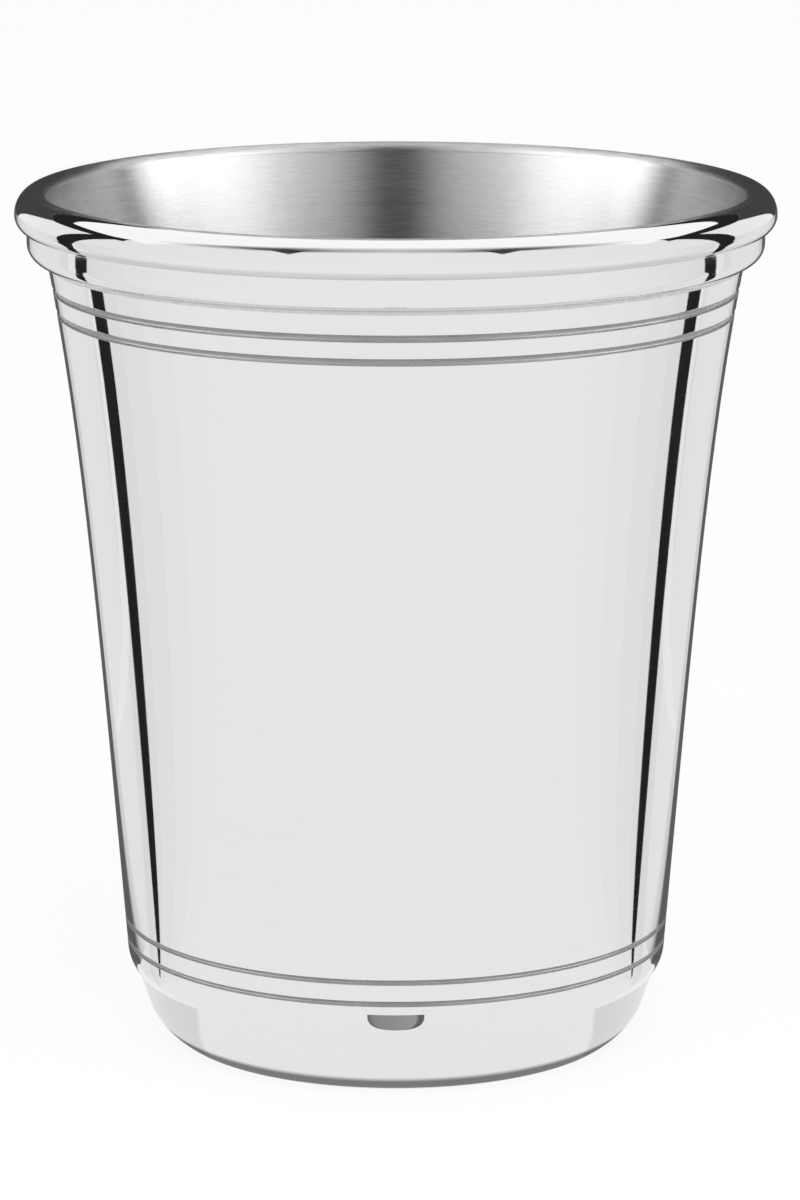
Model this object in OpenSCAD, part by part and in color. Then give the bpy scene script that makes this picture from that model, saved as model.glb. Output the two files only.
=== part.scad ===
// Julep cup: a flared metal beaker, soldered together from a spun wall,
// two applied rim mouldings and a base pan. It stands on z = 0 with its axis on Z.
// All sizes are in millimetres.

/* [Cup] */
// Height of the cup from the table to the top of the lip
cup_h = 101.6; // [90:0.1:120]
// Largest outer radius, at the belly of the upper rim moulding
rim_r = 44.45; // [43:0.05:48]
// Thickness of the spun wall
wall_t = 1.4; // [0.9:0.1:2]

/* [Wall] */
// Outer radius that the straight taper would reach at the table
taper_low_r = 31.3; // [29:0.1:33]
// How far the wall at lip height lies inside the largest radius
rim_inset = 2; // [1.2:0.1:3]
// How much wider the flare makes the wall at lip height
flare_spread = 3.1; // [1:0.1:5]
// Power of the flare: a higher one keeps it nearer the lip
flare_power = 5; // [3:1:8]
// Height of the rolled-in lower edge of the wall
edge_roll_h = 2.7; // [1.6:0.1:3.4]
// How far the lower edge of the wall is rolled in
edge_roll_w = 1.2; // [0.8:0.05:1.3]

/* [Grooves] */
// Width of the two grooves under the rim
groove_w = 0.8; // [0.6:0.1:1.6]
// Width of the two grooves above the base
lower_groove_w = 0.6; // [0.6:0.1:1.4]
// Depth of every groove
groove_d = 0.25; // [0.15:0.05:0.3]
// Drop from the lip to the first groove under the rim
upper_groove_drop = 11.4; // [10.5:0.1:18]
// Distance between the two grooves under the rim
upper_groove_pitch = 2.7; // [1.8:0.1:5]
// Rise from the lower edge of the wall to the first groove above it
lower_groove_rise = 4; // [3.9:0.1:8]
// Distance between the two grooves above the base
lower_groove_pitch = 2.6; // [1.8:0.1:5]

/* [Upper moulding] */
// Height of the moulding from its lower edge to the top of the lip
upper_h = 4.4; // [4.2:0.1:6]
// Drop from the top of the lip to the moulding's belly
belly_drop = 2.8; // [2:0.1:3.6]
// How far the top of the lip lies inside the belly
lip_inset = 2.4; // [1.8:0.1:2.8]
// How far the moulding's lower edge lies inside the belly
upper_tuck = 0.95; // [0.6:0.05:1.4]
// Height of the lip above the top edge of the wall, which it caps
lip_cap_h = 1.1; // [0.7:0.1:1.6]

/* [Lower moulding] */
// Height of the quarter-round moulding under the upper one
lower_h = 3.7; // [3.2:0.1:5]
// How far its outer face stands out from the wall at its lower edge
lower_w = 2.3; // [1.6:0.1:2.7]
// Height of the straight band above its quarter round
lower_band_h = 1.7; // [0.6:0.1:2.2]

/* [Base pan] */
// Height of the pan's shoulder, on which the wall stands
pan_h = 8; // [6.5:0.1:10]
// Outer radius of the foot, where the pan meets the table
foot_r = 26.05; // [24:0.05:27]
// Height at which the pan's side starts to round in towards the foot
pan_round_h = 4.6; // [3.6:0.1:5]
// How far the straight part of the pan's side leans in
pan_lean = 1.1; // [0.8:0.1:1.8]
// Thickness of the pan
pan_t = 1.2; // [0.9:0.1:1.5]
// Height of the collar that laps up inside the wall
collar_h = 4; // [2.5:0.1:6]
// Width of the flat land that the cup stands on
land_w = 1.6; // [1:0.1:2.5]
// Height of the recess inside the land
recess_h = 0.8; // [0.4:0.1:1.2]
// Width of the slope that leads from the land up into the recess
recess_slope_w = 1.2; // [0.6:0.1:2]
// Radius of the bend between the pan's floor and its side, on the inside
floor_bend_r = 3; // [2:0.1:3.6]

/* [Solder] */
// Gap between curved faces that is filled by the solder film
solder_gap = 0.1; // [0.05:0.01:0.15]
// Width and height of the fillet under the rim mouldings
rim_seam_leg = 0.6; // [0.3:0.1:0.9]
// Width and height of the fillet above the pan's collar
base_seam_leg = 0.9; // [0.5:0.1:1.1]

/* [Hidden] */
$fn = 96;

// Straight steps in the whole length of the wall, in each arc, and where a piece seats on the wall
wall_steps = 48;
arc_steps = 12;
seat_steps = 6;

// Heights of the seams and edges, from the table
wall_top_z = cup_h - lip_cap_h;
belly_z = cup_h - belly_drop;
upper_low_z = cup_h - upper_h;
lower_low_z = upper_low_z - lower_h;
lower_band_z = upper_low_z - lower_band_h;
edge_roll_z = pan_h + edge_roll_h;
collar_top_z = pan_h + collar_h;
floor_z = recess_h + pan_t;

// How much wider the straight taper is at lip height than at the table
taper_spread = rim_r - rim_inset - flare_spread - taper_low_r;

// Outer and inner radius of the wall at height z
function wall_r(z) = taper_low_r + taper_spread * z / cup_h + flare_spread * pow(z / cup_h, flare_power);
function bore_r(z) = wall_r(z) - wall_t;

// Radii of the edges, from the axis
lip_r = rim_r - lip_inset;
upper_low_r = rim_r - upper_tuck;
lower_r = wall_r(lower_low_z) + lower_w;
pan_top_r = wall_r(edge_roll_z) - edge_roll_w;
pan_round_r = pan_top_r - pan_lean;
land_in_r = foot_r - land_w;
recess_r = land_in_r - recess_slope_w;

// Height and width of each groove
grooves = [
    [cup_h - upper_groove_drop, groove_w],
    [cup_h - upper_groove_drop - upper_groove_pitch, groove_w],
    [pan_h + lower_groove_rise + lower_groove_pitch, lower_groove_w],
    [pan_h + lower_groove_rise, lower_groove_w]
];

// Radius of the round cutter that leaves a groove of the given width
function groove_cut_r(width) = (pow(width / 2, 2) + pow(groove_d, 2)) / (2 * groove_d);

// Heights from one level to another, in equal steps
function levels(from, to, steps) = [for (i = [0 : steps]) from + (to - from) * i / steps];

// Points on the outer face of the wall and on its bore, moved out by a gap
function wall_line(from, to, steps, gap) = [for (z = levels(from, to, steps)) [wall_r(z) + gap, z]];
function bore_line(from, to, steps, gap) = [for (z = levels(from, to, steps)) [bore_r(z) + gap, z]];

// Points on an ellipse from one angle to another
function oval(centre, radius_x, radius_z, from, to) =
    [for (a = levels(from, to, arc_steps)) centre + [radius_x * cos(a), radius_z * sin(a)]];

// Points on a circular arc that leaves start with the given heading and ends at end
function bend(start, heading, end) =
    let (chord = end - start)
    let (turn = 2 * (atan2(chord[1], chord[0]) - heading))
    let (half = norm(chord) / 2 / sin(turn / 2))
    [for (i = [0 : arc_steps])
        let (a = turn * i / arc_steps)
        start + half * [sin(heading + a) - sin(heading), cos(heading) - cos(heading + a)]];

module turned(outline) {
    rotate_extrude() polygon(outline);
}

// Spun wall with a rolled-in lower edge and two pairs of turned grooves
module body_shell() {
    edge_slope = wall_line(edge_roll_z + edge_roll_h, edge_roll_z, 1, 0);
    edge_heading = atan2(edge_slope[1][1] - edge_slope[0][1], edge_slope[1][0] - edge_slope[0][0]);
    color("gainsboro")
    rotate_extrude()
    difference() {
        polygon(concat(
            bore_line(pan_h, wall_top_z, wall_steps, 0),
            wall_line(wall_top_z, edge_roll_z, wall_steps, 0),
            bend([wall_r(edge_roll_z), edge_roll_z], edge_heading, [pan_top_r, pan_h])
        ));
        for (groove = grooves)
            translate([wall_r(groove[0]) + groove_cut_r(groove[1]) - groove_d, groove[0]])
                circle(r = groove_cut_r(groove[1]));
    }
}

// Solid moulding whose rounded lip caps the top edge of the wall
module upper_rim_moulding() {
    lip_bore_r = bore_r(wall_top_z);
    color("whitesmoke")
    turned(concat(
        oval([lip_r, wall_top_z], lip_r - lip_bore_r, lip_cap_h, 180, 90),
        oval([lip_r, belly_z], lip_inset, belly_drop, 90, 0),
        bend([rim_r, belly_z], -90, [upper_low_r, upper_low_z]),
        wall_line(upper_low_z, wall_top_z, seat_steps, solder_gap)
    ));
}

// Quarter-round moulding that closes the upper one against the wall
module lower_rim_moulding() {
    color("lightgray")
    turned(concat(
        [[lower_r, upper_low_z]],
        bend([lower_r, lower_band_z], -90, [wall_r(lower_low_z) + rim_seam_leg, lower_low_z]),
        wall_line(lower_low_z, upper_low_z, seat_steps, solder_gap)
    ));
}

// Fillet of solder in the corner between the lower moulding and the wall
module rim_solder_seam() {
    reach = rim_seam_leg - solder_gap;
    color("silver")
    turned(concat(
        [[wall_r(lower_low_z) + solder_gap, lower_low_z]],
        [for (a = levels(0, 90, arc_steps))
            let (z = lower_low_z - rim_seam_leg * (1 - cos(a)))
            [wall_r(z) + solder_gap + reach * (1 - sin(a)), z]]
    ));
}

// Drawn pan that closes the bottom: a collar inside the wall, a shoulder under it and a flat foot
module base_pan() {
    bore_low_r = pan_round_r - pan_t;
    side_heading = atan2(pan_round_h - pan_h, -pan_lean);
    color("lightgray")
    turned(concat(
        bore_line(collar_top_z, pan_h, seat_steps, -solder_gap),
        [[pan_top_r, pan_h]],
        bend([pan_round_r, pan_round_h], side_heading, [foot_r, 0]),
        [[land_in_r, 0], [recess_r, recess_h], [0, recess_h], [0, floor_z]],
        oval([bore_low_r - floor_bend_r, floor_z + floor_bend_r], floor_bend_r, floor_bend_r, -90, 0),
        bore_line(pan_h, collar_top_z, seat_steps, -solder_gap - pan_t)
    ));
}

// Fillet of solder between the top of the pan's collar and the bore of the wall
module base_solder_seam() {
    color("silver")
    turned(concat(
        [[bore_r(collar_top_z) - solder_gap, collar_top_z]],
        [for (a = levels(0, 90, arc_steps))
            let (z = collar_top_z + base_seam_leg * (1 - cos(a)))
            [bore_r(z) - solder_gap - base_seam_leg * (1 - sin(a)), z]]
    ));
}

body_shell();
upper_rim_moulding();
lower_rim_moulding();
rim_solder_seam();
base_pan();
base_solder_seam();
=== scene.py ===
from math import atan2, cos, hypot, pi, radians, sin

import bpy
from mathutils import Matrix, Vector


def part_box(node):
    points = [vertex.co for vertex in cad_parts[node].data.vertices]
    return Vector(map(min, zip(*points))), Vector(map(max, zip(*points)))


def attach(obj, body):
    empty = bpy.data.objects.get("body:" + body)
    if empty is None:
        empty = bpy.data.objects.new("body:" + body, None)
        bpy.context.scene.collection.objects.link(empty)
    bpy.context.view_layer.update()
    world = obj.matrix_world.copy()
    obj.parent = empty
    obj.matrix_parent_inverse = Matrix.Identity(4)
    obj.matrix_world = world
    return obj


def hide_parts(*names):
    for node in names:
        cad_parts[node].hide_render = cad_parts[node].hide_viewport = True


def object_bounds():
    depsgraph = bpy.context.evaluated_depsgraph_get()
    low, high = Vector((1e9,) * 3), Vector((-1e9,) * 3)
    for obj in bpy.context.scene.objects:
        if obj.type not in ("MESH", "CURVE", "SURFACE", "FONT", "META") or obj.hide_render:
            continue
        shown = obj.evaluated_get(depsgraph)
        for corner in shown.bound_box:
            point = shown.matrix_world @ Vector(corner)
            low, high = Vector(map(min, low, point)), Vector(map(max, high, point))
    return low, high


# Julep cup: polished outside, finely brushed inside, standing on a pale table.
# Lengths are in metres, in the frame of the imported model: the table is z = 0 and the cup's axis is Z.

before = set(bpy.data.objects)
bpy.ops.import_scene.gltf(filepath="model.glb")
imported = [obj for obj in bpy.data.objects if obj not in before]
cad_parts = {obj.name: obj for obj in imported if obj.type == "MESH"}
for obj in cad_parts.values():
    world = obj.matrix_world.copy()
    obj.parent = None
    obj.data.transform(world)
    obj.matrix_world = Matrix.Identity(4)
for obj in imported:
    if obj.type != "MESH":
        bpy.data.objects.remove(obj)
cad_low, cad_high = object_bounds()
MM = 0.001

# Heights and the largest radius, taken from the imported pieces
CUP_H = cad_high[2]
WALL_LOW_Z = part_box("body_shell")[0].z
WALL_TOP_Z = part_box("body_shell")[1].z
UPPER_LOW_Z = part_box("upper_rim_moulding")[0].z
LOWER_LOW_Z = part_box("lower_rim_moulding")[0].z
COLLAR_TOP_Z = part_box("base_pan")[1].z
RIM_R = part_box("upper_rim_moulding")[1].x

# Wall
WALL_T = 1.4 * MM
TAPER_LOW_R = 31.3 * MM
RIM_INSET = 2.0 * MM
FLARE_SPREAD = 3.1 * MM
FLARE_POWER = 5
TAPER_SPREAD = RIM_R - RIM_INSET - FLARE_SPREAD - TAPER_LOW_R
EDGE_ROLL_H = 2.7 * MM
EDGE_ROLL_W = 1.2 * MM
EDGE_ROLL_Z = WALL_LOW_Z + EDGE_ROLL_H

# Painted shade: a soft dark band in the upper moulding's colour over its joint with the lower one,
# where the crease lies in shade
CREASE_Z = UPPER_LOW_Z + 0.4 * MM
CREASE_HALF = 0.5 * MM

# Turned grooves, with shoulders softened by polishing
GROOVE_W = 0.8 * MM
LOWER_GROOVE_W = 0.6 * MM
GROOVE_D = 0.25 * MM
GROOVE_SHOULDER = 0.03 * MM
GROOVE_SIDE_STEP = 0.04 * MM
UPPER_GROOVE_DROP = 11.4 * MM
UPPER_GROOVE_PITCH = 2.7 * MM
LOWER_GROOVE_RISE = 4.0 * MM
LOWER_GROOVE_PITCH = 2.6 * MM
GROOVES = (
    (WALL_LOW_Z + LOWER_GROOVE_RISE, LOWER_GROOVE_W),
    (WALL_LOW_Z + LOWER_GROOVE_RISE + LOWER_GROOVE_PITCH, LOWER_GROOVE_W),
    (CUP_H - UPPER_GROOVE_DROP - UPPER_GROOVE_PITCH, GROOVE_W),
    (CUP_H - UPPER_GROOVE_DROP, GROOVE_W),
)

# Mouldings. The lip is brushed down to an angle above its belly, in degrees.
BELLY_DROP = 2.8 * MM
LIP_INSET = 2.4 * MM
UPPER_TUCK = 0.95 * MM
LIP_BRUSH_END = 74
LOWER_W = 2.3 * MM
LOWER_BAND_H = 1.7 * MM

# Base pan
FOOT_R = 26.05 * MM
PAN_ROUND_Z = 4.6 * MM
PAN_LEAN = 1.1 * MM
PAN_T = 1.2 * MM
LAND_W = 1.6 * MM
RECESS_H = 0.8 * MM
RECESS_SLOPE_W = 1.2 * MM
FLOOR_BEND_R = 3.0 * MM

# Solder
SOLDER_GAP = 0.1 * MM
RIM_SEAM_LEG = 0.6 * MM
BASE_SEAM_LEG = 0.9 * MM

# How finely the pieces are turned
SIDES = 320
WALL_STEPS = 60
BARE_STEPS = 15
ARC_STEPS = 20
GROOVE_STEPS = 20
SHARP_ANGLE = radians(24)
SAME_PLACE = 1e-9

# Places of the finishes in a piece's material list, the third being the dark, dull groove floor,
# and of the only one in a shorter list
POLISH, BRUSH, GROOVE_FLOOR = 0, 1, 2
ONLY = 0


def wall_r(z):
    """Outer radius of the wall at height z."""
    share = z / CUP_H
    return TAPER_LOW_R + TAPER_SPREAD * share + FLARE_SPREAD * share ** FLARE_POWER


def bore_r(z):
    return wall_r(z) - WALL_T


def levels(start, end, steps):
    return [start + (end - start) * i / steps for i in range(steps + 1)]


def wall_line(start, end, steps, gap=0.0):
    return [(wall_r(z) + gap, z) for z in levels(start, end, steps)]


def bore_line(start, end, steps, gap=0.0):
    return [(bore_r(z) + gap, z) for z in levels(start, end, steps)]


def straight(start, end, steps):
    return list(zip(levels(start[0], end[0], steps), levels(start[1], end[1], steps)))


def oval(centre_r, centre_z, radius_r, radius_z, start, end):
    """Points on an ellipse from one angle to another, in degrees."""
    turns = [radians(a) for a in levels(start, end, ARC_STEPS)]
    return [(centre_r + radius_r * cos(a), centre_z + radius_z * sin(a)) for a in turns]


def bend(start, heading, end):
    """Points on a circular arc that leaves start with the given heading and ends at end."""
    chord_r, chord_z = end[0] - start[0], end[1] - start[1]
    turn = 2 * (atan2(chord_z, chord_r) - heading)
    radius = hypot(chord_r, chord_z) / 2 / sin(turn / 2)
    return [
        (start[0] + radius * (sin(heading + a) - sin(heading)),
         start[1] + radius * (cos(heading) - cos(heading + a)))
        for a in levels(0, turn, ARC_STEPS)
    ]


def groove_depth(z):
    """How deep the nearest groove lies under the wall's face at height z, with rounded shoulders."""
    off, half = min((abs(z - middle), width / 2) for middle, width in GROOVES)
    if off >= half + GROOVE_SHOULDER:
        return 0.0
    if off > half - GROOVE_SHOULDER:
        edge_slope = 2 * GROOVE_D * (half - GROOVE_SHOULDER) / half ** 2
        reach = half + GROOVE_SHOULDER - off
        return edge_slope * reach ** 2 / (4 * GROOVE_SHOULDER)
    return GROOVE_D * (1 - (off / half) ** 2)


def bare_wall(start, end):
    """Wall between two grooves. Short end steps keep its shading clear of the grooves' bends."""
    middle = wall_line(start - GROOVE_SIDE_STEP, end + GROOVE_SIDE_STEP, BARE_STEPS)
    return [(wall_r(start), start), *middle, (wall_r(end), end)]


def outer_face():
    """Stretches of the wall's outer face, from its top to its rolled edge, with the grooves in it."""
    stretches, top = [], WALL_TOP_Z
    for middle, width in sorted(GROOVES, reverse=True):
        high = middle + width / 2 + GROOVE_SHOULDER
        low = middle - width / 2 - GROOVE_SHOULDER
        stretches.append((bare_wall(top, high), POLISH))
        groove = [(wall_r(z) - groove_depth(z), z) for z in levels(high, low, GROOVE_STEPS)]
        stretches.append((groove, GROOVE_FLOOR))
        top = low
    stretches.append((bare_wall(top, EDGE_ROLL_Z), POLISH))
    return stretches


def same_place(first, second):
    return hypot(first[0] - second[0], first[1] - second[1]) < SAME_PLACE


def joined(stretches):
    """One closed outline from stretches of points, with the number of the material at each point."""
    outline, finish = [], []
    for points, material in stretches:
        if outline and same_place(outline[-1], points[0]):
            points = points[1:]
        finish += [material] * len(points)
        outline += points
    if same_place(outline[-1], outline[0]):
        outline.pop()
        finish.pop()
    return outline, finish


def rings(outline):
    """Vertices of an outline turned about the Z axis, and the vertex numbers of each of its points."""
    vertices, rows = [], []
    for r, z in outline:
        if r == 0:
            rows.append([len(vertices)] * SIDES)
            vertices.append((0, 0, z))
            continue
        rows.append(list(range(len(vertices), len(vertices) + SIDES)))
        vertices += [(r * cos(2 * pi * k / SIDES), r * sin(2 * pi * k / SIDES), z) for k in range(SIDES)]
    return vertices, rows


def turned(name, stretches, materials):
    """A piece turned about the Z axis. Each stretch of its outline is points and a material's number."""
    outline, finish = joined(stretches)
    vertices, rows = rings(outline)
    faces, face_materials = [], []
    for i, low in enumerate(rows):
        following = (i + 1) % len(rows)
        high = rows[following]
        if low[0] == low[1] and high[0] == high[1]:
            continue
        for k in range(SIDES):
            n = (k + 1) % SIDES
            corners = [low[k], high[k], high[n], low[n]]
            faces.append([c for j, c in enumerate(corners) if c not in corners[:j]])
            face_materials.append(finish[following])
    mesh = bpy.data.meshes.new(name)
    mesh.from_pydata(vertices, [], faces)
    for material in materials:
        mesh.materials.append(material)
    mesh.polygons.foreach_set("material_index", face_materials)
    mesh.shade_smooth()
    mesh.set_sharp_from_angle(angle=SHARP_ANGLE)
    mesh.update()
    piece = bpy.data.objects.new(name, mesh)
    bpy.context.scene.collection.objects.link(piece)
    return piece


def fit(piece, node):
    """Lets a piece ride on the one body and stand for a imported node."""
    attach(piece, "root")
    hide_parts(node)


# Finishes. Noise mixes their two colours and their two roughnesses.
# A streak has a length, a width and a detail, a cloud or grain a scale and a detail,
# and a bump a strength and a height.

POLISH_COLOURS = ((0.755, 0.765, 0.78), (0.80, 0.805, 0.815))
POLISH_STREAK = (18 * MM, 0.16 * MM, 3.0)
POLISH_CLOUD = (60.0, 3.0)
POLISH_CLOUD_ROUGHNESS = (0.02, 0.035)
POLISH_STREAK_ROUGHNESS = (0.0, 0.02)
POLISH_BUMP = (0.06, 0.01 * MM)
# Painted shade of the crease between the mouldings: its colour, and how far the polish goes towards it
CREASE_SHADE_COLOUR = (0.44, 0.45, 0.45)
CREASE_DARK = 0.5

BRUSH_COLOURS = ((0.35, 0.362, 0.371), (0.62, 0.62, 0.62))
BRUSH_FINE_STREAK = (2.4 * MM, 0.14 * MM, 4.0)
BRUSH_BROAD_STREAK = (16 * MM, 0.6 * MM, 3.0)
BRUSH_BROAD_SHARE = 0.35
BRUSH_ROUGHNESS = (0.28, 0.42)
BRUSH_STRETCH = 0.94
BRUSH_TURN = 0.25
BRUSH_BUMP = (0.35, 0.02 * MM)

SOLDER_COLOURS = ((0.50, 0.50, 0.49), (0.66, 0.66, 0.65))
SOLDER_GRAIN = (900.0, 3.0)
SOLDER_ROUGHNESS = (0.28, 0.42)
SOLDER_BUMP = (0.3, 0.05 * MM)

GROOVE_COLOURS = ((0.27, 0.275, 0.26), (0.345, 0.35, 0.335))
GROOVE_STREAK = (6 * MM, 0.5 * MM, 2.0)
GROOVE_ROUGHNESS = (0.36, 0.22)
GROOVE_METAL_SHARE = 0.18
GROOVE_BUMP = (0.1, 0.02 * MM)

# Range that most of a noise texture's values lie in
NOISE_LOW = 0.3
NOISE_HIGH = 0.7


def new_material(name):
    material = bpy.data.materials.new(name)
    material.use_nodes = True
    nodes = material.node_tree.nodes
    return material, nodes, material.node_tree.links, nodes["Principled BSDF"]


def maths(nodes, links, operation, *inputs):
    node = nodes.new("ShaderNodeMath")
    node.operation = operation
    for socket, value in zip(node.inputs, inputs):
        if isinstance(value, (int, float)):
            socket.default_value = value
        else:
            links.new(value, socket)
    return node.outputs[0]


def object_place(nodes):
    return nodes.new("ShaderNodeTexCoord").outputs["Object"]


def ring_coordinates(nodes, links, streak_length, streak_width):
    """Coordinates that run slowly round the axis and fast along the outline."""
    parts = nodes.new("ShaderNodeSeparateXYZ")
    links.new(object_place(nodes), parts.inputs[0])
    x, y, z = parts.outputs
    squares = [maths(nodes, links, "MULTIPLY", part, part) for part in (x, y)]
    radius = maths(nodes, links, "SQRT", maths(nodes, links, "ADD", *squares))
    along = maths(nodes, links, "ADD", z, radius)
    together = nodes.new("ShaderNodeCombineXYZ")
    links.new(maths(nodes, links, "DIVIDE", x, streak_length), together.inputs[0])
    links.new(maths(nodes, links, "DIVIDE", y, streak_length), together.inputs[1])
    links.new(maths(nodes, links, "DIVIDE", along, streak_width), together.inputs[2])
    return together.outputs[0]


def noise(nodes, links, coordinates, scale, detail):
    node = nodes.new("ShaderNodeTexNoise")
    node.inputs["Scale"].default_value = scale
    node.inputs["Detail"].default_value = detail
    links.new(coordinates, node.inputs["Vector"])
    return node.outputs["Fac"]


def streaks(nodes, links, length, width, detail):
    """Noise in the form of marks that run round the axis, as turning and brushing leave them."""
    return noise(nodes, links, ring_coordinates(nodes, links, length, width), 1.0, detail)


def spread(nodes, links, value, low, high):
    """Turns noise, which lies between 0 and 1, into a value between low and high."""
    node = nodes.new("ShaderNodeMapRange")
    node.inputs["From Min"].default_value = NOISE_LOW
    node.inputs["From Max"].default_value = NOISE_HIGH
    node.inputs["To Min"].default_value = low
    node.inputs["To Max"].default_value = high
    links.new(value, node.inputs["Value"])
    return node.outputs["Result"]


def blend_colours(nodes, links, share, first, second):
    """Mix of two colours, of which the first may also come from another node."""
    node = nodes.new("ShaderNodeMix")
    node.data_type = "RGBA"
    if isinstance(first, tuple):
        node.inputs["A"].default_value = (*first, 1)
    else:
        links.new(first, node.inputs["A"])
    node.inputs["B"].default_value = (*second, 1)
    links.new(share, node.inputs["Factor"])
    return node.outputs["Result"]


def bump(nodes, links, height, strength, distance):
    node = nodes.new("ShaderNodeBump")
    node.inputs["Strength"].default_value = strength
    node.inputs["Distance"].default_value = distance
    links.new(height, node.inputs["Height"])
    return node.outputs["Normal"]


def crease_shade_share(nodes, links):
    """1 at the middle of the painted shade in the crease between the mouldings, and 0 beyond its edges."""
    parts = nodes.new("ShaderNodeSeparateXYZ")
    links.new(object_place(nodes), parts.inputs[0])
    off = maths(nodes, links, "SUBTRACT", parts.outputs[2], CREASE_Z)
    off = maths(nodes, links, "DIVIDE", off, CREASE_HALF)
    hump = maths(nodes, links, "SUBTRACT", 1.0, maths(nodes, links, "MULTIPLY", off, off))
    return maths(nodes, links, "MAXIMUM", hump, 0.0)


def polished_metal():
    """Mirror polish with very faint turning marks, a trace of handling, and painted shade in the crease."""
    material, nodes, links, shader = new_material("polished_metal")
    shader.inputs["Metallic"].default_value = 1.0
    fine = streaks(nodes, links, *POLISH_STREAK)
    cloud = noise(nodes, links, object_place(nodes), *POLISH_CLOUD)
    unshaded = blend_colours(nodes, links, fine, *POLISH_COLOURS)
    # Painted shade: the polish darkens in a soft band over the joint of the mouldings
    dark_marks = maths(nodes, links, "MULTIPLY", crease_shade_share(nodes, links), CREASE_DARK)
    links.new(blend_colours(nodes, links, dark_marks, unshaded, CREASE_SHADE_COLOUR), shader.inputs["Base Color"])
    rough = maths(nodes, links, "ADD", spread(nodes, links, cloud, *POLISH_CLOUD_ROUGHNESS),
                  spread(nodes, links, fine, *POLISH_STREAK_ROUGHNESS))
    links.new(rough, shader.inputs["Roughness"])
    links.new(bump(nodes, links, fine, *POLISH_BUMP), shader.inputs["Normal"])
    return material


def brushed_metal():
    """Satin finish brushed round and round, as left inside the cup."""
    material, nodes, links, shader = new_material("brushed_metal")
    shader.inputs["Metallic"].default_value = 1.0
    shader.inputs["Anisotropic"].default_value = BRUSH_STRETCH
    shader.inputs["Anisotropic Rotation"].default_value = BRUSH_TURN
    tangent = nodes.new("ShaderNodeTangent")
    tangent.direction_type = "RADIAL"
    tangent.axis = "Z"
    links.new(tangent.outputs[0], shader.inputs["Tangent"])
    fine = streaks(nodes, links, *BRUSH_FINE_STREAK)
    broad = streaks(nodes, links, *BRUSH_BROAD_STREAK)
    fine_share = maths(nodes, links, "MULTIPLY", fine, 1 - BRUSH_BROAD_SHARE)
    marks = maths(nodes, links, "MULTIPLY_ADD", broad, BRUSH_BROAD_SHARE, fine_share)
    colour = blend_colours(nodes, links, spread(nodes, links, marks, 0.0, 1.0), *BRUSH_COLOURS)
    links.new(colour, shader.inputs["Base Color"])
    links.new(spread(nodes, links, marks, *BRUSH_ROUGHNESS), shader.inputs["Roughness"])
    links.new(bump(nodes, links, fine, *BRUSH_BUMP), shader.inputs["Normal"])
    return material


def solder_metal():
    """Dull grey solder, a little uneven."""
    material, nodes, links, shader = new_material("solder")
    shader.inputs["Metallic"].default_value = 1.0
    grain = noise(nodes, links, object_place(nodes), *SOLDER_GRAIN)
    links.new(blend_colours(nodes, links, grain, *SOLDER_COLOURS), shader.inputs["Base Color"])
    links.new(spread(nodes, links, grain, *SOLDER_ROUGHNESS), shader.inputs["Roughness"])
    links.new(bump(nodes, links, grain, *SOLDER_BUMP), shader.inputs["Normal"])
    return material


def groove_metal():
    """Floor of a turned groove: dull, dark grey-olive metal with faint streaks round the axis."""
    material, nodes, links, shader = new_material("groove_metal")
    shader.inputs["Metallic"].default_value = GROOVE_METAL_SHARE
    dark_marks = streaks(nodes, links, *GROOVE_STREAK)
    colour = blend_colours(nodes, links, spread(nodes, links, dark_marks, 0.0, 1.0), *GROOVE_COLOURS)
    links.new(colour, shader.inputs["Base Color"])
    links.new(spread(nodes, links, dark_marks, *GROOVE_ROUGHNESS), shader.inputs["Roughness"])
    links.new(bump(nodes, links, dark_marks, *GROOVE_BUMP), shader.inputs["Normal"])
    return material


POLISHED = polished_metal()
BRUSHED = brushed_metal()
GROOVED = groove_metal()
SOLDER = solder_metal()


# Pieces of the cup

def body_shell():
    pan_top_r = wall_r(EDGE_ROLL_Z) - EDGE_ROLL_W
    above = EDGE_ROLL_Z + EDGE_ROLL_H
    heading = atan2(EDGE_ROLL_Z - above, wall_r(EDGE_ROLL_Z) - wall_r(above))
    edge = bend((wall_r(EDGE_ROLL_Z), EDGE_ROLL_Z), heading, (pan_top_r, WALL_LOW_Z))
    piece = turned("body_wall", [
        (bore_line(WALL_LOW_Z, WALL_TOP_Z, WALL_STEPS), BRUSH),
        *outer_face(),
        (edge, POLISH),
        ([(bore_r(WALL_LOW_Z), WALL_LOW_Z)], POLISH),
    ], [POLISHED, BRUSHED, GROOVED])
    fit(piece, "body_shell")
    return piece


def upper_moulding():
    lip_r = RIM_R - LIP_INSET
    belly_z = CUP_H - BELLY_DROP
    low_r = RIM_R - UPPER_TUCK
    piece = turned("upper_moulding", [
        ([(bore_r(WALL_TOP_Z), WALL_TOP_Z)], POLISH),
        (oval(lip_r, belly_z, LIP_INSET, BELLY_DROP, LIP_BRUSH_END, 0), POLISH),
        (bend((RIM_R, belly_z), -pi / 2, (low_r, UPPER_LOW_Z)), POLISH),
        (wall_line(UPPER_LOW_Z, WALL_TOP_Z, ARC_STEPS, SOLDER_GAP), POLISH),
    ], [POLISHED])
    fit(piece, "upper_rim_moulding")
    return piece


def lip_inside():
    """Inner rounding and top of the upper moulding's lip, brushed with the wall's inside."""
    lip_r = RIM_R - LIP_INSET
    piece = turned("lip_inside", [
        (oval(lip_r, WALL_TOP_Z, lip_r - bore_r(WALL_TOP_Z), CUP_H - WALL_TOP_Z, 180, 90), ONLY),
        (oval(lip_r, CUP_H - BELLY_DROP, LIP_INSET, BELLY_DROP, 90, LIP_BRUSH_END), ONLY),
    ], [BRUSHED])
    fit(piece, "upper_rim_moulding")
    return piece


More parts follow.
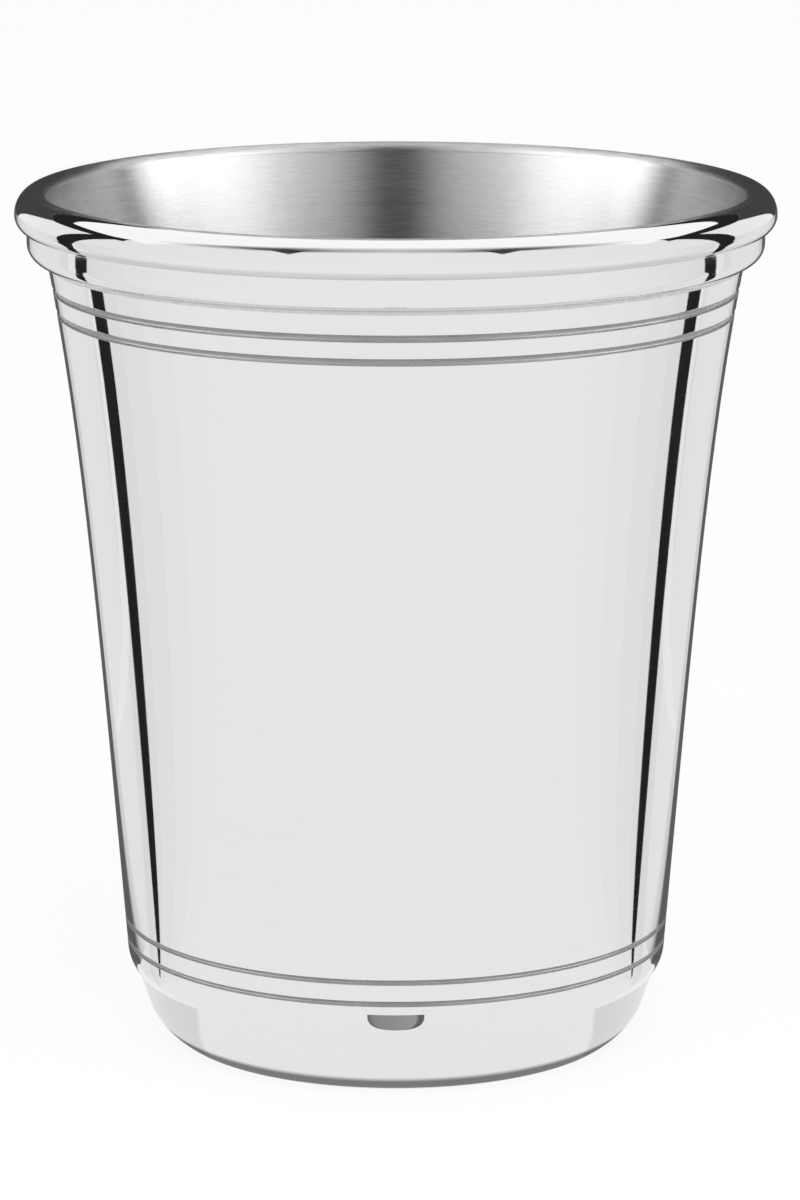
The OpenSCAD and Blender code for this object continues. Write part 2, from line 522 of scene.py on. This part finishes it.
def lower_moulding():
    low_r = wall_r(LOWER_LOW_Z) + LOWER_W
    piece = turned("lower_moulding", [
        ([(low_r, UPPER_LOW_Z)], POLISH),
        (bend((low_r, UPPER_LOW_Z - LOWER_BAND_H), -pi / 2,
              (wall_r(LOWER_LOW_Z) + RIM_SEAM_LEG, LOWER_LOW_Z)), POLISH),
        (wall_line(LOWER_LOW_Z, UPPER_LOW_Z, ARC_STEPS, SOLDER_GAP), POLISH),
    ], [POLISHED])
    fit(piece, "lower_rim_moulding")
    return piece


def rim_seam():
    reach = RIM_SEAM_LEG - SOLDER_GAP
    hollow = []
    for a in levels(0, pi / 2, ARC_STEPS):
        z = LOWER_LOW_Z - RIM_SEAM_LEG * (1 - cos(a))
        hollow.append((wall_r(z) + SOLDER_GAP + reach * (1 - sin(a)), z))
    piece = turned("rim_solder", [
        ([(wall_r(LOWER_LOW_Z) + SOLDER_GAP, LOWER_LOW_Z)], ONLY),
        (hollow, ONLY),
    ], [SOLDER])
    fit(piece, "rim_solder_seam")
    return piece


def base_pan():
    pan_top_r = wall_r(EDGE_ROLL_Z) - EDGE_ROLL_W
    round_r = pan_top_r - PAN_LEAN
    flat_r = round_r - PAN_T - FLOOR_BEND_R
    land_in_r = FOOT_R - LAND_W
    recess_r = land_in_r - RECESS_SLOPE_W
    floor_z = RECESS_H + PAN_T
    heading = atan2(PAN_ROUND_Z - WALL_LOW_Z, -PAN_LEAN)
    piece = turned("base_pan_shell", [
        (bore_line(COLLAR_TOP_Z, WALL_LOW_Z, ARC_STEPS, -SOLDER_GAP), POLISH),
        ([(pan_top_r, WALL_LOW_Z)], POLISH),
        (straight((pan_top_r, WALL_LOW_Z), (round_r, PAN_ROUND_Z), ARC_STEPS), POLISH),
        (bend((round_r, PAN_ROUND_Z), heading, (FOOT_R, 0.0)), POLISH),
        ([(land_in_r, 0.0), (recess_r, RECESS_H), (0.0, RECESS_H), (0.0, floor_z)], POLISH),
        (straight((0.0, floor_z), (flat_r, floor_z), ARC_STEPS), BRUSH),
        (oval(flat_r, floor_z + FLOOR_BEND_R, FLOOR_BEND_R, FLOOR_BEND_R, -90, 0), BRUSH),
        (bore_line(WALL_LOW_Z, COLLAR_TOP_Z, ARC_STEPS, -SOLDER_GAP - PAN_T), BRUSH),
    ], [POLISHED, BRUSHED])
    fit(piece, "base_pan")
    return piece


def base_seam():
    hollow = []
    for a in levels(0, pi / 2, ARC_STEPS):
        z = COLLAR_TOP_Z + BASE_SEAM_LEG * (1 - cos(a))
        hollow.append((bore_r(z) - SOLDER_GAP - BASE_SEAM_LEG * (1 - sin(a)), z))
    piece = turned("base_solder", [
        ([(bore_r(COLLAR_TOP_Z) - SOLDER_GAP, COLLAR_TOP_Z)], ONLY),
        (hollow, ONLY),
    ], [SOLDER])
    fit(piece, "base_solder_seam")
    return piece


WALL = body_shell()
LIP = lip_inside()
UPPER = upper_moulding()
LOWER = lower_moulding()
PAN = base_pan()
MOULDINGS = (UPPER, LOWER)
PIECES = (WALL, LIP, *MOULDINGS, PAN, rim_seam(), base_seam())


# Studio: a pale table, one soft lamp, and cards that only reflections see

TABLE_HALF = 4.0
TABLE_COLOUR = (0.92, 0.92, 0.92)
TABLE_ROUGHNESS = 0.9
TABLE_SHINE = 0.1
TABLE_GLOW = 0.9
LAMP_PLACE = (0.15, -0.75, 1.25)
LAMP_SIDE = 1.1
LAMP_POWER = 9.0
ROOM_LIGHT = 0.78
REFLECTED_ROOM = 1.0
BOTH_SIDES = ((-1, "left"), (1, "right"))

# Brightness of dark cards, and of cards over the table for the pieces that shouldn't notice them
BLACK = 0.02
TABLE_SEEN = 0.98

# Heights over the table of the shades and of the dark strips
SHADE_Z = 0.0005
STRIP_Z = 0.0008

# White ceiling panel over the cup, with a black frame on three sides: half the width and the Y
# of its front and back edge, and where the frame starts
CEILING_Z = 0.70
CEILING_FRONT = (1.45, -0.22)
CEILING_BACK = (0.85, 0.70)
FRAME_W = 0.42
FRAME_FRONT_Y = 0.03
FRAME_RISE = 0.001
CEILING_GLOW = 1.18

# Soft dark gap in front of the ceiling panel: distance from the middle, place and how dark it is
FRONT_GAP = ((0.0, -0.41, 0.36), (0.16, -0.41, 0.5), (0.33, -0.41, 0.95), (0.45, -0.38, 0.85),
             (0.60, -0.31, 0.5), (0.76, -0.23, 0.25), (0.92, -0.15, 0.0))
FRONT_GAP_HALF = 0.06
FRONT_GAP_SOFT = 0.13
FRONT_GAP_DROP = 0.01

# Notches in front of that gap: two points and the tip, each with how dark it is
NOTCH = (((0.29, -0.47), 1.0), ((0.43, -0.45), 1.0), ((0.53, -0.80), 0.8))
NOTCH_DROP = 0.02

# Slanted gaps between the white side panels: front and back edge, low and high
GAP_X = 1.10
GAP_LOW_Y = (0.367, 0.620)
GAP_HIGH_Y = (-0.01, 0.245)
GAP_HIGH_Z = 0.66

# The same gaps run over the table to the cup: distance from the middle, front and back edge.
# The shared strip is dark for all pieces, and the others only for those named in STRIPS.
# All lie at one height, so they meet along their edges and don't overlap.
SHARED_STRIP = ((0.178, 0.0797, 0.0797), (0.20, 0.082, 0.0936), (0.235, 0.090, 0.1125), (0.27, 0.098, 0.123),
                (0.38, 0.134, 0.163), (0.55, 0.190, 0.244), (0.60, 0.206, 0.268), (0.638, 0.218, 0.218))
FAR_STRIP = ((0.20, 0.0936, 0.0936), (0.235, 0.1125, 0.1158), (0.27, 0.123, 0.138), (0.38, 0.163, 0.205),
             (0.55, 0.244, 0.300), (0.60, 0.268, 0.329), (0.638, 0.218, 0.351), (1.10, 0.367, 0.620))
WALL_STRIP = ((0.0465, -0.0032, -0.0032), (0.178, 0.0535, 0.0797), (0.20, 0.063, 0.082),
              (0.27, 0.0932, 0.098), (0.29, 0.104, 0.104))
RIM_STRIP = ((0.105, 0.100, 0.104), (0.13, 0.084, 0.103), (0.16, 0.078, 0.100), (0.178, 0.0797, 0.101),
             (0.20, 0.0936, 0.105), (0.225, 0.1095, 0.1095))
UPPER_STRIP = ((0.178, 0.101, 0.104), (0.20, 0.105, 0.110), (0.225, 0.1095, 0.125), (0.27, 0.138, 0.152),
               (0.33, 0.175, 0.175))
LOWER_STRIP = ((0.30, 0.1078, 0.1078), (0.38, 0.122, 0.134), (0.47, 0.142, 0.1636), (0.55, 0.170, 0.190),
               (0.60, 0.187, 0.206), (0.638, 0.198, 0.218))
STRIPS = (("far", FAR_STRIP, (WALL, LIP, UPPER, PAN)), ("wall", WALL_STRIP, (WALL,)),
          ("rim", RIM_STRIP, MOULDINGS), ("upper", UPPER_STRIP, (UPPER,)), ("lower", LOWER_STRIP, (LOWER,)))
STRIP_DARK = 0.98

# Dim room behind the cup, over two white panels with slanted tops: X and Z of its lower edge
BACK_Y = 1.12
BACK_HIGH_Z = 0.70
BACK_EDGE = ((1.21, 0.70), (0.50, 0.0))
BACK_GLOW = 0.06

# Shade on the table behind the cup, left and right: near point, far point and how dark it is
BACK_SHADE = (((0.058, 0.014), (1.00, 1.30), 0.0), ((0.052, 0.014), (0.70, 1.45), 0.2),
              ((0.047, 0.014), (0.55, 1.50), 0.88), ((0.036, 0.014), (0.05, 1.50), 0.88),
              ((0.026, 0.014), (0.03, 1.50), 0.0))

# Shade on the table beside the foot, for the pan alone: how dark it is across, and its share
# from the sharp front edge to the back
SIDE_SHADE_ACROSS = ((0.020, 0.18), (0.034, 0.18), (0.046, 0.0))
SIDE_SHADE_ALONG = ((-0.0170, 0.0), (-0.0160, 1.0), (0.016, 0.6))

# Painted shade: a dark ring on the table round the foot for the pan alone, in place of the contact shadow
# that the pan reflects: radius and how dark it is
FOOT_SHADE_RING = ((0.0262, 0.75), (0.0276, 0.75), (0.0284, 0.0))

# Painted reflection: a dark spot in front of the wall's rolled edge, for the wall alone, on a small
# slanted half disc: Y and Z of its lower and upper edge, half its width, and how dark it is across that
# width
SPOT_LOW = (-0.0327, 0.0010)
SPOT_TOP = (-0.0363, 0.0086)
SPOT_HALF = 0.0042
SPOT_ACROSS = ((-1.0, 0.84), (-0.78, 0.70), (0.70, 0.62), (0.82, 0.86), (1.0, 0.84))

# Light by direction for the brushed inside: degrees from the front and how bright it is.
# Its ring covers so little that the pieces that it is dark for hardly notice it. The dark room
# round the ring narrows towards its top, which has a radius and a height.
INSIDE_LIGHT = ((0, 0.1), (6, 0.1), (9, 0.24), (12, 0.42), (17, 0.6), (21, 0.78), (25, 0.9), (33, 1.2),
                (42, 1.3), (47, 1.6), (56, 2.0), (65, 2.3), (75, 2.8), (86, 3.5), (97, 4.2), (103, 3.8),
                (108, 1.9), (113, 1.1), (121, 0.7), (130, 0.3), (140, 0.08), (155, 0.04), (180, 0.03))
INSIDE_POWER = 1.75
INSIDE_LIGHT_R = 2.4
INSIDE_COVER = 0.04
DARK_ROOM_R = 2.6
DARK_ROOM_TOP = (0.8, 5.0)

# Slow fall of the light on the table to the sides: degrees from the front and how dark it is
TABLE_FALL = ((48, 0.0), (62, 0.01), (76, 0.035), (90, 0.07), (104, 0.11), (118, 0.15), (126, 0.07),
              (142, 0.08), (156, 0.14))
TABLE_FALL_TIP = (0.036, -0.004)
TABLE_FALL_R = 1.2


def link_stage(stage_object):
    bpy.context.scene.collection.objects.link(stage_object)
    return stage_object


def seen_share(nodes, links):
    """1 for rays from the camera, from gloss and through glass, and 0 for the light on things."""
    path = nodes.new("ShaderNodeLightPath")
    seen = maths(nodes, links, "MAXIMUM", path.outputs["Is Camera Ray"], path.outputs["Is Glossy Ray"])
    return maths(nodes, links, "MAXIMUM", seen, path.outputs["Is Transmission Ray"])


def table():
    material, nodes, links, shader = new_material("pale_table")
    shader.inputs["Base Color"].default_value = (*TABLE_COLOUR, 1)
    shader.inputs["Roughness"].default_value = TABLE_ROUGHNESS
    shader.inputs["Specular IOR Level"].default_value = TABLE_SHINE
    white = nodes.new("ShaderNodeEmission")
    mixed = nodes.new("ShaderNodeMixShader")
    links.new(maths(nodes, links, "MULTIPLY", seen_share(nodes, links), TABLE_GLOW), mixed.inputs[0])
    links.new(shader.outputs[0], mixed.inputs[1])
    links.new(white.outputs[0], mixed.inputs[2])
    links.new(mixed.outputs[0], nodes["Material Output"].inputs["Surface"])
    mesh = bpy.data.meshes.new("table")
    corners = [(-TABLE_HALF, -TABLE_HALF, 0), (TABLE_HALF, -TABLE_HALF, 0),
               (TABLE_HALF, TABLE_HALF, 0), (-TABLE_HALF, TABLE_HALF, 0)]
    mesh.from_pydata(corners, [], [(0, 1, 2, 3)])
    mesh.materials.append(material)
    link_stage(bpy.data.objects.new("table", mesh))


def card_material():
    """Material of all cards. Their brightness and how much they cover are written at their corners."""
    material = bpy.data.materials.new("card")
    material.use_nodes = True
    nodes, links = material.node_tree.nodes, material.node_tree.links
    nodes.clear()
    light = nodes.new("ShaderNodeEmission")
    clear = nodes.new("ShaderNodeBsdfTransparent")
    mixed = nodes.new("ShaderNodeMixShader")
    output = nodes.new("ShaderNodeOutputMaterial")
    for name, socket in (("glow", light.inputs["Strength"]), ("cover", mixed.inputs[0])):
        written = nodes.new("ShaderNodeAttribute")
        written.attribute_name = name
        links.new(written.outputs["Fac"], socket)
    links.new(clear.outputs[0], mixed.inputs[1])
    links.new(light.outputs[0], mixed.inputs[2])
    links.new(mixed.outputs[0], output.inputs["Surface"])
    return material


CARD_LIGHT = card_material()


def card(name, rows, glow, dark_for=()):
    """A card from rows of corners, each a point and how much of it the card covers. Only reflections see it.

    It is black in the reflections of the pieces in dark_for, and the others see its glow.
    """
    wide = len(rows[0])
    corners = [corner for row in rows for corner in row]
    starts = [r * wide + c for r in range(len(rows) - 1) for c in range(wide - 1)]
    faces = [(s, s + 1, s + 1 + wide, s + wide) for s in starts]
    mesh = bpy.data.meshes.new(name)
    mesh.from_pydata([point for point, _ in corners], [], faces)
    mesh.materials.append(CARD_LIGHT)
    for label, values in (("glow", [glow] * len(corners)), ("cover", [cover for _, cover in corners])):
        mesh.attributes.new(label, "FLOAT", "POINT").data.foreach_set("value", values)
    flat = link_stage(bpy.data.objects.new(name, mesh))
    flat.visible_camera = False
    flat.visible_diffuse = False
    flat.visible_transmission = False
    flat.visible_shadow = False
    if dark_for:
        lit = bpy.data.collections.new(name + "_lit_pieces")
        for piece in PIECES:
            if piece not in dark_for:
                lit.objects.link(piece)
        flat.light_linking.receiver_collection = lit


def plate(name, corners, glow, dark_for=()):
    """A four-cornered card that covers all of what is behind it."""
    first, second, third, fourth = [(corner, 1.0) for corner in corners]
    card(name, [[first, second], [fourth, third]], glow, dark_for)


def ring_of(radius, z, cover):
    """Corners of a card that stands round the cup."""
    return [((radius * cos(a), radius * sin(a), z), cover) for a in levels(0, 2 * pi, SIDES)]


def ceiling():
    (front_x, front_y), (back_x, back_y) = CEILING_FRONT, CEILING_BACK
    panel = [(-front_x, front_y, CEILING_Z), (front_x, front_y, CEILING_Z),
             (back_x, back_y, CEILING_Z), (-back_x, back_y, CEILING_Z)]
    plate("ceiling_panel", panel, CEILING_GLOW, (WALL,))
    share = (FRAME_FRONT_Y - front_y) / (back_y - front_y)
    x, z = front_x + (back_x - front_x) * share, CEILING_Z + FRAME_RISE
    far_x, far_y = back_x + FRAME_W, back_y + FRAME_W
    for side, name in BOTH_SIDES:
        plate("frame_" + name, [(side * x, FRAME_FRONT_Y, z), (side * (x + FRAME_W), FRAME_FRONT_Y, z),
                                (side * far_x, far_y, z), (side * back_x, back_y, z)], BLACK)
    behind = [(-back_x, back_y, z), (back_x, back_y, z), (far_x, far_y, z), (-far_x, far_y, z)]
    plate("frame_back", behind, BLACK)


def front_gap():
    both = [(-x, y, dark) for x, y, dark in reversed(FRONT_GAP[1:])] + list(FRONT_GAP)
    reach = FRONT_GAP_HALF + FRONT_GAP_SOFT
    rows = []
    for off, share in ((-reach, 0.0), (-FRONT_GAP_HALF, 1.0), (FRONT_GAP_HALF, 1.0), (reach, 0.0)):
        rows.append([((x, y + off, CEILING_Z - FRONT_GAP_DROP), dark * share) for x, y, dark in both])
    card("front_gap", rows, BLACK)
    for side, name in BOTH_SIDES:
        first, second, tip = [((side * x, y, CEILING_Z - NOTCH_DROP), dark) for (x, y), dark in NOTCH]
        card("notch_" + name, [[first, second], [tip, tip]], BLACK)


def side_gap(side, name):
    """Slanted dark gap between the side panels, and its run over the table to the cup."""
    x = side * GAP_X
    plate("gap_" + name, [(x, GAP_LOW_Y[0], 0), (x, GAP_LOW_Y[1], 0),
                          (x, GAP_HIGH_Y[1], GAP_HIGH_Z), (x, GAP_HIGH_Y[0], GAP_HIGH_Z)], BLACK)
    plain = [[((side * across, y, STRIP_Z), 1.0) for y in edges] for across, *edges in SHARED_STRIP]
    card("shared_strip_" + name, plain, BLACK)
    for kind, strip, dark_for in STRIPS:
        rows = [[((side * across, y, STRIP_Z), STRIP_DARK) for y in edges] for across, *edges in strip]
        card(kind + "_strip_" + name, rows, TABLE_SEEN, dark_for)


def back_room():
    low = [(-x, z) for x, z in BACK_EDGE] + [(x, z) for x, z in reversed(BACK_EDGE)]
    card("back_room", [[((x, BACK_Y, z), 1.0) for x, z in low],
                       [((x, BACK_Y, BACK_HIGH_Z), 1.0) for x, _ in low]], BACK_GLOW)


def shades():
    """Soft shades on the table, as the cup's mirror finish shows them."""
    for side, name in BOTH_SIDES:
        rows = [[((side * x, y, SHADE_Z), dark) for x, y in (near, far)] for near, far, dark in BACK_SHADE]
        card("back_shade_" + name, rows, TABLE_SEEN, (WALL, *MOULDINGS))
        rows = [[((side * x, y, 2 * SHADE_Z), dark * share) for x, dark in SIDE_SHADE_ACROSS]
                for y, share in SIDE_SHADE_ALONG]
        card("side_shade_" + name, rows, TABLE_SEEN, (PAN,))


def foot_shade_ring():
    # Painted contact shadow, seen only in the pan's reflection
    card("foot_shade_ring", [ring_of(r, SHADE_Z / 2, dark) for r, dark in FOOT_SHADE_RING], TABLE_SEEN, (PAN,))


def front_reflection_spot():
    rows = []
    for (y, z), share in zip(straight(SPOT_LOW, SPOT_TOP, ARC_STEPS), levels(0, 1, ARC_STEPS)):
        half = SPOT_HALF * (1 - (1 - share) ** 2) ** 0.5
        rows.append([((across * half, y, z), dark) for across, dark in SPOT_ACROSS])
    # Painted reflection: a dark spot that only the wall's rolled edge reflects
    card("front_reflection_spot", rows, TABLE_SEEN, (WALL,))


def inside_light():
    """Light for the brushed inside: the wall and the lip see a bright ring in a dark room.

    The room looks as usual to the other pieces, and the ring is dark for the mouldings and the pan.
    """
    top_r, top_z = DARK_ROOM_TOP
    walls = [ring_of(DARK_ROOM_R, 0, 1.0), ring_of(DARK_ROOM_R, top_z, 1.0), ring_of(top_r, top_z, 1.0)]
    card("dark_room", walls, REFLECTED_ROOM, (WALL, LIP))
    both = [(-a, light) for a, light in reversed(INSIDE_LIGHT[1:-1])] + list(INSIDE_LIGHT)
    strongest = max(light for _, light in both)
    rows = [[((INSIDE_LIGHT_R * sin(radians(a)), -INSIDE_LIGHT_R * cos(radians(a)), z),
              INSIDE_COVER * light / strongest) for a, light in both] for z in (0, top_z)]
    card("inside_light", rows, INSIDE_POWER * strongest / INSIDE_COVER, (*MOULDINGS, PAN))


def table_fall():
    """Slow fall of the light on the table to both sides."""
    tip_x, tip_y = TABLE_FALL_TIP
    for side, name in BOTH_SIDES:
        rows = []
        for angle, dark in TABLE_FALL:
            far_x = tip_x + TABLE_FALL_R * sin(radians(angle))
            far_y = tip_y - TABLE_FALL_R * cos(radians(angle))
            rows.append([((side * x, y, SHADE_Z / 2), dark) for x, y in ((tip_x, tip_y), (far_x, far_y))])
        card("table_fall_" + name, rows, BLACK)


def lamp():
    data = bpy.data.lights.new("soft_lamp", "AREA")
    data.size = LAMP_SIDE
    data.energy = LAMP_POWER
    light = bpy.data.objects.new("soft_lamp", data)
    light.location = LAMP_PLACE
    light.rotation_euler = (-Vector(LAMP_PLACE)).to_track_quat("-Z", "Y").to_euler()
    light.visible_glossy = False
    bpy.context.scene.collection.objects.link(light)


def room():
    """White room: full white where the camera or a reflection sees it, softer as a light."""
    world = bpy.data.worlds.new("studio_world")
    bpy.context.scene.world = world
    world.use_nodes = True
    nodes, links = world.node_tree.nodes, world.node_tree.links
    seen = seen_share(nodes, links)
    strength = maths(nodes, links, "MULTIPLY_ADD", seen, REFLECTED_ROOM - ROOM_LIGHT, ROOM_LIGHT)
    nodes["Background"].inputs["Color"].default_value = (1, 1, 1, 1)
    links.new(strength, nodes["Background"].inputs["Strength"])


table()
ceiling()
front_gap()
for direction, label in BOTH_SIDES:
    side_gap(direction, label)
back_room()
shades()
foot_shade_ring()
front_reflection_spot()
inside_light()
table_fall()
lamp()
room()


# Camera, at the photo's viewing angle
CAMERA_BACK = 612.5 * MM
CAMERA_UP = 184.3 * MM
CAMERA_SIDE = 0.48 * MM
CAMERA_TILT = radians(12.16)
FOCAL_PIXELS = 5285
PICTURE_HEIGHT = 1200
SENSOR = 36.0

camera_data = bpy.data.cameras.new("camera")
camera_data.sensor_fit = "AUTO"
camera_data.sensor_width = SENSOR
camera_data.lens = FOCAL_PIXELS / PICTURE_HEIGHT * SENSOR
camera = bpy.data.objects.new("camera", camera_data)
camera.location = (CAMERA_SIDE, -CAMERA_BACK, CAMERA_UP)
camera.rotation_euler = (pi / 2 - CAMERA_TILT, 0, 0)
bpy.context.scene.collection.objects.link(camera)
bpy.context.scene.camera = camera
bpy.context.scene.view_settings.view_transform = "Standard"
